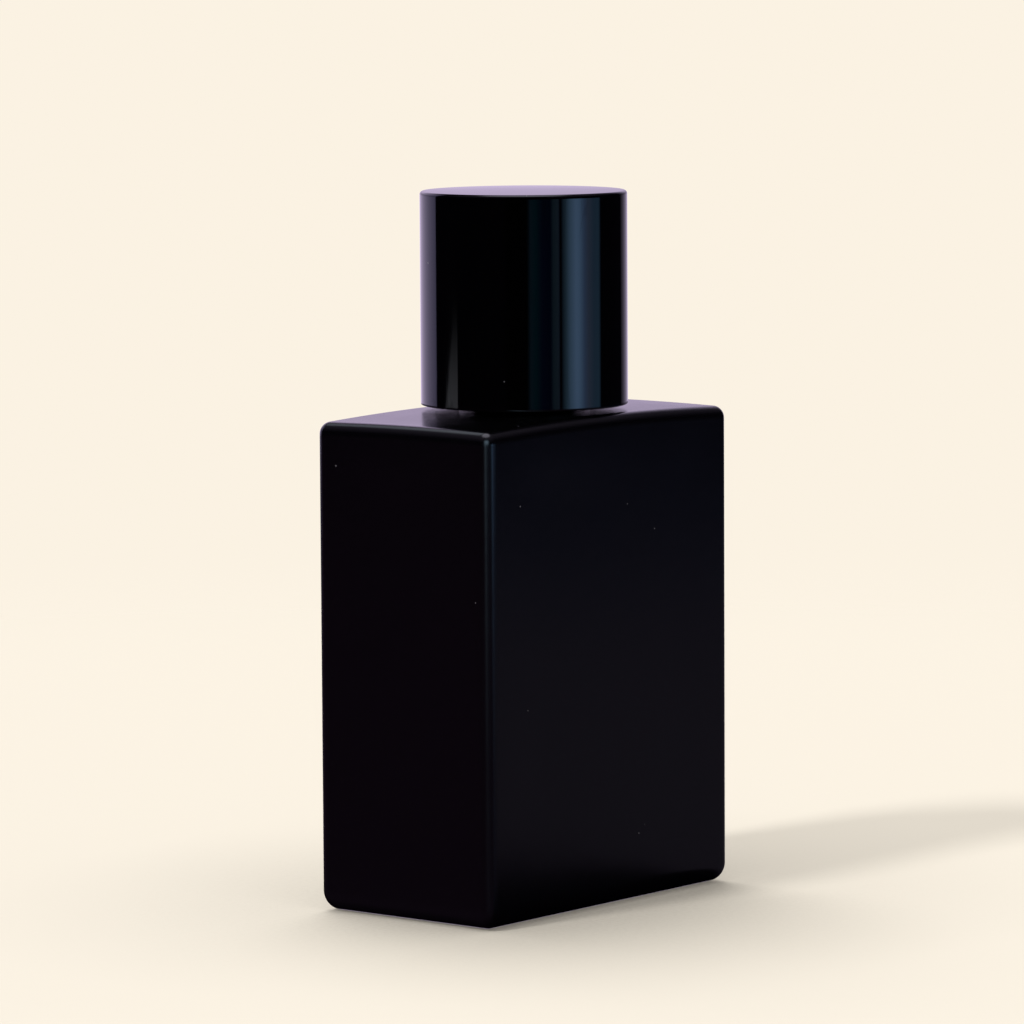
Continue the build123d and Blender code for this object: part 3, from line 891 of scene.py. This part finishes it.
def makeWorld():
    world = bpy.data.worlds.new("studio")
    world.use_nodes = True
    bpy.context.scene.world = world
    world.cycles.sampling_method = "NONE"  # each kind of ray must see its own sky
    tree = world.node_tree
    tree.nodes.clear()
    rays = addNode(tree, "ShaderNodeLightPath").outputs
    seen = addNode(tree, "ShaderNodeBackground", {"Color": (*room["backdrop"], 1.0)})
    ambient = addNode(tree, "ShaderNodeBackground", {"Color": (1, 1, 1, 1), "Strength": room["ambient"]})
    direction = addNode(tree, "ShaderNodeSeparateXYZ")
    tree.links.new(addNode(tree, "ShaderNodeTexCoord").outputs["Generated"], direction.inputs["Vector"])
    overhead = addRange(tree, direction.outputs["Z"], *room["sheenRise"])
    sheenColor = addNode(tree, "ShaderNodeMix", data_type="RGBA")
    sheenColor.inputs["A"].default_value = (*room["sheenSides"], 1.0)
    sheenColor.inputs["B"].default_value = (*room["sheenOverhead"], 1.0)
    tree.links.new(overhead, sheenColor.inputs["Factor"])
    sheen = addNode(tree, "ShaderNodeBackground")
    tree.links.new(sheenColor.outputs["Result"], sheen.inputs["Color"])
    glossy = addNode(tree, "ShaderNodeMixShader")
    tree.links.new(rays["Is Glossy Ray"], glossy.inputs["Fac"])
    tree.links.new(ambient.outputs[0], glossy.inputs[1])
    tree.links.new(sheen.outputs[0], glossy.inputs[2])
    final = addNode(tree, "ShaderNodeMixShader")
    tree.links.new(rays["Is Camera Ray"], final.inputs["Fac"])
    tree.links.new(glossy.outputs[0], final.inputs[1])
    tree.links.new(seen.outputs[0], final.inputs[2])
    tree.links.new(final.outputs[0], addNode(tree, "ShaderNodeOutputWorld").inputs["Surface"])


# Each light that shades the table: where it comes from, strength, angle across in degrees
tableLights = {
    "keyLight": (Vector((-0.713, 0.095, 0.695)), 4.94, 8.5),
    "fillLight": (Vector((0.25, 0.36, 0.899)), 5.3, 36.0),
}


def makeTableLights(table):
    onlyTable = bpy.data.collections.new("onlyTable")
    onlyTable.objects.link(table)
    for name, (direction, strength, angle) in tableLights.items():
        sun = bpy.data.lights.new(name, "SUN")
        sun.energy = strength
        sun.angle = math.radians(angle)
        light = bpy.data.objects.new(name, sun)
        light.matrix_world = direction.to_track_quat("Z", "Y").to_matrix().to_4x4()
        light.light_linking.receiver_collection = onlyTable
        bpy.context.scene.collection.objects.link(light)


def makeTable():
    mesh = bpy.data.meshes.new("table")
    half, level = room["tableHalf"], room["tableLevel"]
    corners = [(-half, -half, level), (half, -half, level), (half, half, level), (-half, half, level)]
    mesh.from_pydata(corners, [], [(0, 1, 2, 3)])
    material = bpy.data.materials.new("paleTable")
    material.use_nodes = True
    tree = material.node_tree
    tree.nodes.clear()
    link = tree.links.new
    place = addNode(tree, "ShaderNodeTexCoord").outputs["Object"]
    # Painted contact shade: ambient occlusion from the bottle darkens the table's colour, its lit share and
    # its even glow alike, with specks in that shade
    openness = addNode(tree, "ShaderNodeAmbientOcclusion", {"Distance": room["contactReach"]}, samples=12)
    shade = addMath(tree, "SUBTRACT", 1.0, openness.outputs["AO"])
    depth = addRange(tree, addNoise(tree, place, room["speckleScale"]), 0.35, 0.75, *room["speckle"])
    darker = addMath(tree, "SUBTRACT", 1.0, addMath(tree, "MULTIPLY", shade, depth))

    def tinted(gain):
        color = addNode(tree, "ShaderNodeVectorMath", operation="SCALE")
        color.inputs[0].default_value = room["tableColor"]
        link(addMath(tree, "MULTIPLY", darker, gain), color.inputs["Scale"])
        return color.outputs[0]

    lit = addNode(tree, "ShaderNodeBsdfDiffuse")
    link(tinted(room["tableGain"]), lit.inputs["Color"])
    even = addNode(tree, "ShaderNodeEmission")
    link(tinted(room["tableGlow"]), even.inputs["Color"])
    surface = addNode(tree, "ShaderNodeAddShader")
    link(lit.outputs[0], surface.inputs[0])
    link(even.outputs[0], surface.inputs[1])
    clear = addNode(tree, "ShaderNodeBsdfTransparent")
    away = addNode(tree, "ShaderNodeVectorMath", operation="LENGTH")
    link(place, away.inputs[0])
    fade = addRange(tree, away.outputs["Value"], room["solidTable"], room["tableEdge"])
    blend = addNode(tree, "ShaderNodeMixShader")
    link(fade, blend.inputs["Fac"])
    link(surface.outputs[0], blend.inputs[1])
    link(clear.outputs[0], blend.inputs[2])
    link(blend.outputs[0], addNode(tree, "ShaderNodeOutputMaterial").inputs["Surface"])
    mesh.materials.append(material)
    table = bpy.data.objects.new("table", mesh)
    bpy.context.scene.collection.objects.link(table)
    table.visible_glossy = False
    return table


# Each card is a patch of a sphere round the bottle that only reflections see, and it lights
# only the piece that "lights" names, if any. Angles are degrees to the right of the camera,
# low and high are elevations, across and upward are (share, colour) and (share, strength) stops.
cardRadius = 0.9
cards = {
    "backdropCard": {
        "from": 136, "to": 246, "low": -35, "high": 42,
        "across": ((0.0, (0.03, 0.025, 0.035)), (0.08, (0.2, 0.17, 0.25)), (0.25, (0.7, 0.6, 0.85)),
                   (0.45, (1.05, 0.87, 1.24)), (0.7, (0.8, 0.68, 1.0)), (0.97, (0.5, 0.45, 0.75)),
                   (1.0, (0.4, 0.37, 0.65))),
        "upward": ((0.0, 0.0), (0.18, 1.0), (0.45, 1.0), (0.53, 0.66), (0.57, 0.66), (0.66, 1.1),
                   (0.85, 1.0), (1.0, 0.0)),
    },
    "softboxCard": {
        "from": 42, "to": 94, "low": -4.8, "high": 1.3,
        "across": ((0.0, (0.02, 0.03, 0.06)), (0.1, (0.2, 0.4, 0.6)), (0.2, (0.5, 0.92, 1.5)),
                   (0.34, (0.8, 1.38, 2.35)), (0.42, (0.7, 1.25, 2.15)), (0.55, (0.35, 0.58, 1.1)),
                   (0.65, (0.3, 0.42, 0.7)), (0.8, (0.16, 0.31, 0.53)), (0.94, (0.14, 0.3, 0.5)),
                   (1.0, (0.02, 0.04, 0.08))),
        "upward": ((0.0, 0.0), (0.1, 1.0), (0.9, 1.0), (1.0, 0.0)),
    },
    "tealCard": {
        "from": 4, "to": 40, "low": -4.8, "high": 1.3,
        "across": ((0.0, (0.0, 0.01, 0.02)), (0.1, (0.04, 0.1, 0.16)), (0.25, (0.01, 0.09, 0.13)),
                   (0.45, (0.01, 0.02, 0.08)), (0.7, (0.0, 0.01, 0.06)), (0.8, (0.08, 0.15, 0.22)),
                   (0.95, (0.11, 0.19, 0.29)), (1.0, (0.02, 0.02, 0.08))),
        "upward": ((0.0, 0.0), (0.1, 1.0), (0.9, 1.0), (1.0, 0.0)),
    },
    "stripCard": {
        "from": -20, "to": 30, "low": -14, "high": 45, "lights": "glass_body", "radius": 0.95,
        "across": ((0.0, (0.0, 0.0, 0.0)), (0.3, (0.7, 1.0, 1.25)), (0.65, (0.8, 1.15, 1.45)),
                   (1.0, (0.04, 0.09, 0.14))),
        "upward": ((0.0, 0.6), (0.3, 1.0), (0.7, 2.2), (1.0, 0.0)),
    },
    "leftTopCard": {
        "from": -165, "to": -118, "low": 42, "high": 64, "lights": "glass_body",
        "across": ((0.0, (0.0, 0.0, 0.0)), (0.15, (0.8, 0.87, 1.0)), (0.85, (0.8, 0.87, 1.0)),
                   (1.0, (0.0, 0.0, 0.0))),
        "upward": ((0.0, 0.0), (0.2, 1.0), (0.8, 1.0), (1.0, 0.0)),
    },
    "overheadCard": {
        "from": -180, "to": 180, "low": 62, "high": 89.9,
        "across": ((0.0, (2.0, 1.95, 2.3)), (1.0, (2.0, 1.95, 2.3))),
        "upward": ((0.0, 0.0), (0.3, 1.0), (1.0, 1.0)),
    },
}
streak = {
    "lights": "cap_outer",
    "from": -101,
    "to": -79,
    "tip": -82.5,
    "top": 25 * mm,
    "foot": -15 * mm,
    "color": (0.6, 0.61, 0.68),
}
# What the walls reflect of the table, by the share of its reach from the bottle's middle
glow = {
    "reach": 0.75,
    "level": 0.2 * mm,
    "along": ((0.0, (0.084, 0.074, 0.102)), (0.4, (0.081, 0.071, 0.1)), (0.8, (0.034, 0.044, 0.09)),
              (1.0, (0.01, 0.015, 0.03))),
    "sideGap": (-0.002, 0.002),  # where the light starts and is full, away from the narrow walls
    "frontGap": (0.012, 0.05),  # and away from the wide walls
    "leftColor": (0.045, 0.022, 0.045),  # on the narrow wall's side, -X
    "leftMix": (-0.06, 0.06),  # where that colour ends, along X
}


def addStops(tree, fac, stops):
    ramp = addNode(tree, "ShaderNodeValToRGB")
    elements = ramp.color_ramp.elements
    while len(elements) > 1:
        elements.remove(elements[-1])
    for index, (position, value) in enumerate(stops):
        element = elements[0] if index == 0 else elements.new(position)
        element.position = position
        element.color = (*value, 1.0) if isinstance(value, tuple) else (value, value, value, 1.0)
    tree.links.new(fac, ramp.inputs["Fac"])
    return ramp.outputs["Color"]


def addGlowMaterial(mesh, name, makeLight):
    # makeLight(tree) returns the colour's socket and the strength's, or None for a strength of 1
    material = bpy.data.materials.new(name)
    material.use_nodes = True
    tree = material.node_tree
    tree.nodes.clear()
    light = addNode(tree, "ShaderNodeEmission", {"Strength": 1.0})
    color, strength = makeLight(tree)
    tree.links.new(color, light.inputs["Color"])
    if strength:
        tree.links.new(strength, light.inputs["Strength"])
    tree.links.new(light.outputs[0], addNode(tree, "ShaderNodeOutputMaterial").inputs["Surface"])
    mesh.materials.append(material)


def placeReflected(name, mesh, onlyFor=None):
    wall = bpy.data.objects.new(name, mesh)
    bpy.context.scene.collection.objects.link(wall)
    wall.visible_camera = False
    wall.visible_diffuse = False
    wall.visible_transmission = False
    wall.visible_volume_scatter = False
    wall.visible_shadow = False
    if onlyFor:
        receivers = bpy.data.collections.new(name + "For")
        receivers.objects.link(bpy.data.objects[onlyFor])
        wall.light_linking.receiver_collection = receivers


def makeCard(name, card, wide=32, tall=12):
    points, faces = [], []
    for row in range(tall + 1):
        elevation = card["low"] + (card["high"] - card["low"]) * row / tall
        for step in range(wide + 1):
            around = shot["azimuth"] + card["from"] + (card["to"] - card["from"]) * step / wide
            points.append(shot["centre"] + directionAt(around, elevation) * card.get("radius", cardRadius))
    for row in range(tall):
        for step in range(wide):
            first = row * (wide + 1) + step
            faces.append((first, first + 1, first + wide + 2, first + wide + 1))
    mesh = bpy.data.meshes.new(name)
    mesh.from_pydata(points, [], faces)
    layer = mesh.uv_layers.new(name="spread")
    for loop in mesh.loops:
        row, step = divmod(loop.vertex_index, wide + 1)
        layer.data[loop.index].uv = (step / wide, row / tall)

    def makeLight(tree):
        uv = addNode(tree, "ShaderNodeSeparateXYZ")
        tree.links.new(addNode(tree, "ShaderNodeTexCoord").outputs["UV"], uv.inputs["Vector"])
        color = addStops(tree, uv.outputs["X"], card["across"])
        return color, addStops(tree, uv.outputs["Y"], card["upward"])

    addGlowMaterial(mesh, name, makeLight)
    placeReflected(name, mesh, card.get("lights"))


def makeStreak():
    # A tapering sliver low on the left, dimmer towards its tip
    corners = [(streak["from"], streak["foot"]), (streak["to"], streak["foot"]),
               (streak["to"], streak["top"]), (streak["tip"], streak["top"])]
    points = [directionAt(shot["azimuth"] + around) * cardRadius + Vector((0, 0, z)) for around, z in corners]
    mesh = bpy.data.meshes.new("streakCard")
    mesh.from_pydata(points, [], [(0, 1, 2, 3)])

    def makeLight(tree):
        place = addNode(tree, "ShaderNodeSeparateXYZ")
        tree.links.new(addNode(tree, "ShaderNodeTexCoord").outputs["Object"], place.inputs["Vector"])
        strength = addRange(tree, place.outputs["Z"], streak["top"], streak["foot"], 0.0, 1.0)
        return addStops(tree, strength, ((0.0, (0, 0, 0)), (1.0, streak["color"]))), None

    addGlowMaterial(mesh, "streakCard", makeLight)
    placeReflected("streakCard", mesh, streak["lights"])


def makeTableGlow():
    # What the satin walls pick up from the table, with less of it close to the bottle
    level = Vector((0, 0, glow["level"]))
    rim = [directionAt(degrees) * glow["reach"] + level for degrees in range(0, 360, 5)]
    mesh = bpy.data.meshes.new("tableGlow")
    mesh.from_pydata(rim, [], [range(len(rim))])

    def makeLight(tree):
        where = addNode(tree, "ShaderNodeTexCoord").outputs["Object"]
        away = addNode(tree, "ShaderNodeVectorMath", operation="LENGTH")
        tree.links.new(where, away.inputs[0])
        place = addNode(tree, "ShaderNodeSeparateXYZ")
        tree.links.new(where, place.inputs["Vector"])

        def clearOf(axis, half, gap):
            across = addMath(tree, "ABSOLUTE", place.outputs[axis])
            return addRange(tree, across, half + gap[0], half + gap[1])

        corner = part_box("glass_bottle")[1]
        sides = clearOf("X", corner.x, glow["sideGap"])
        fronts = clearOf("Y", corner.y, glow["frontGap"])
        far = addRange(tree, away.outputs["Value"], 0.0, glow["reach"])
        mix = addNode(tree, "ShaderNodeMix", data_type="RGBA")
        tree.links.new(addRange(tree, place.outputs["X"], *glow["leftMix"]), mix.inputs["Factor"])
        mix.inputs["A"].default_value = (*glow["leftColor"], 1.0)
        tree.links.new(addStops(tree, far, glow["along"]), mix.inputs["B"])
        return mix.outputs["Result"], addMath(tree, "MAXIMUM", sides, fronts)

    addGlowMaterial(mesh, "tableGlow", makeLight)
    placeReflected("tableGlow", mesh)


makeWorld()
makeTableLights(makeTable())
for cardName, card in cards.items():
    makeCard(cardName, card)
makeStreak()
makeTableGlow()
print("room ready")
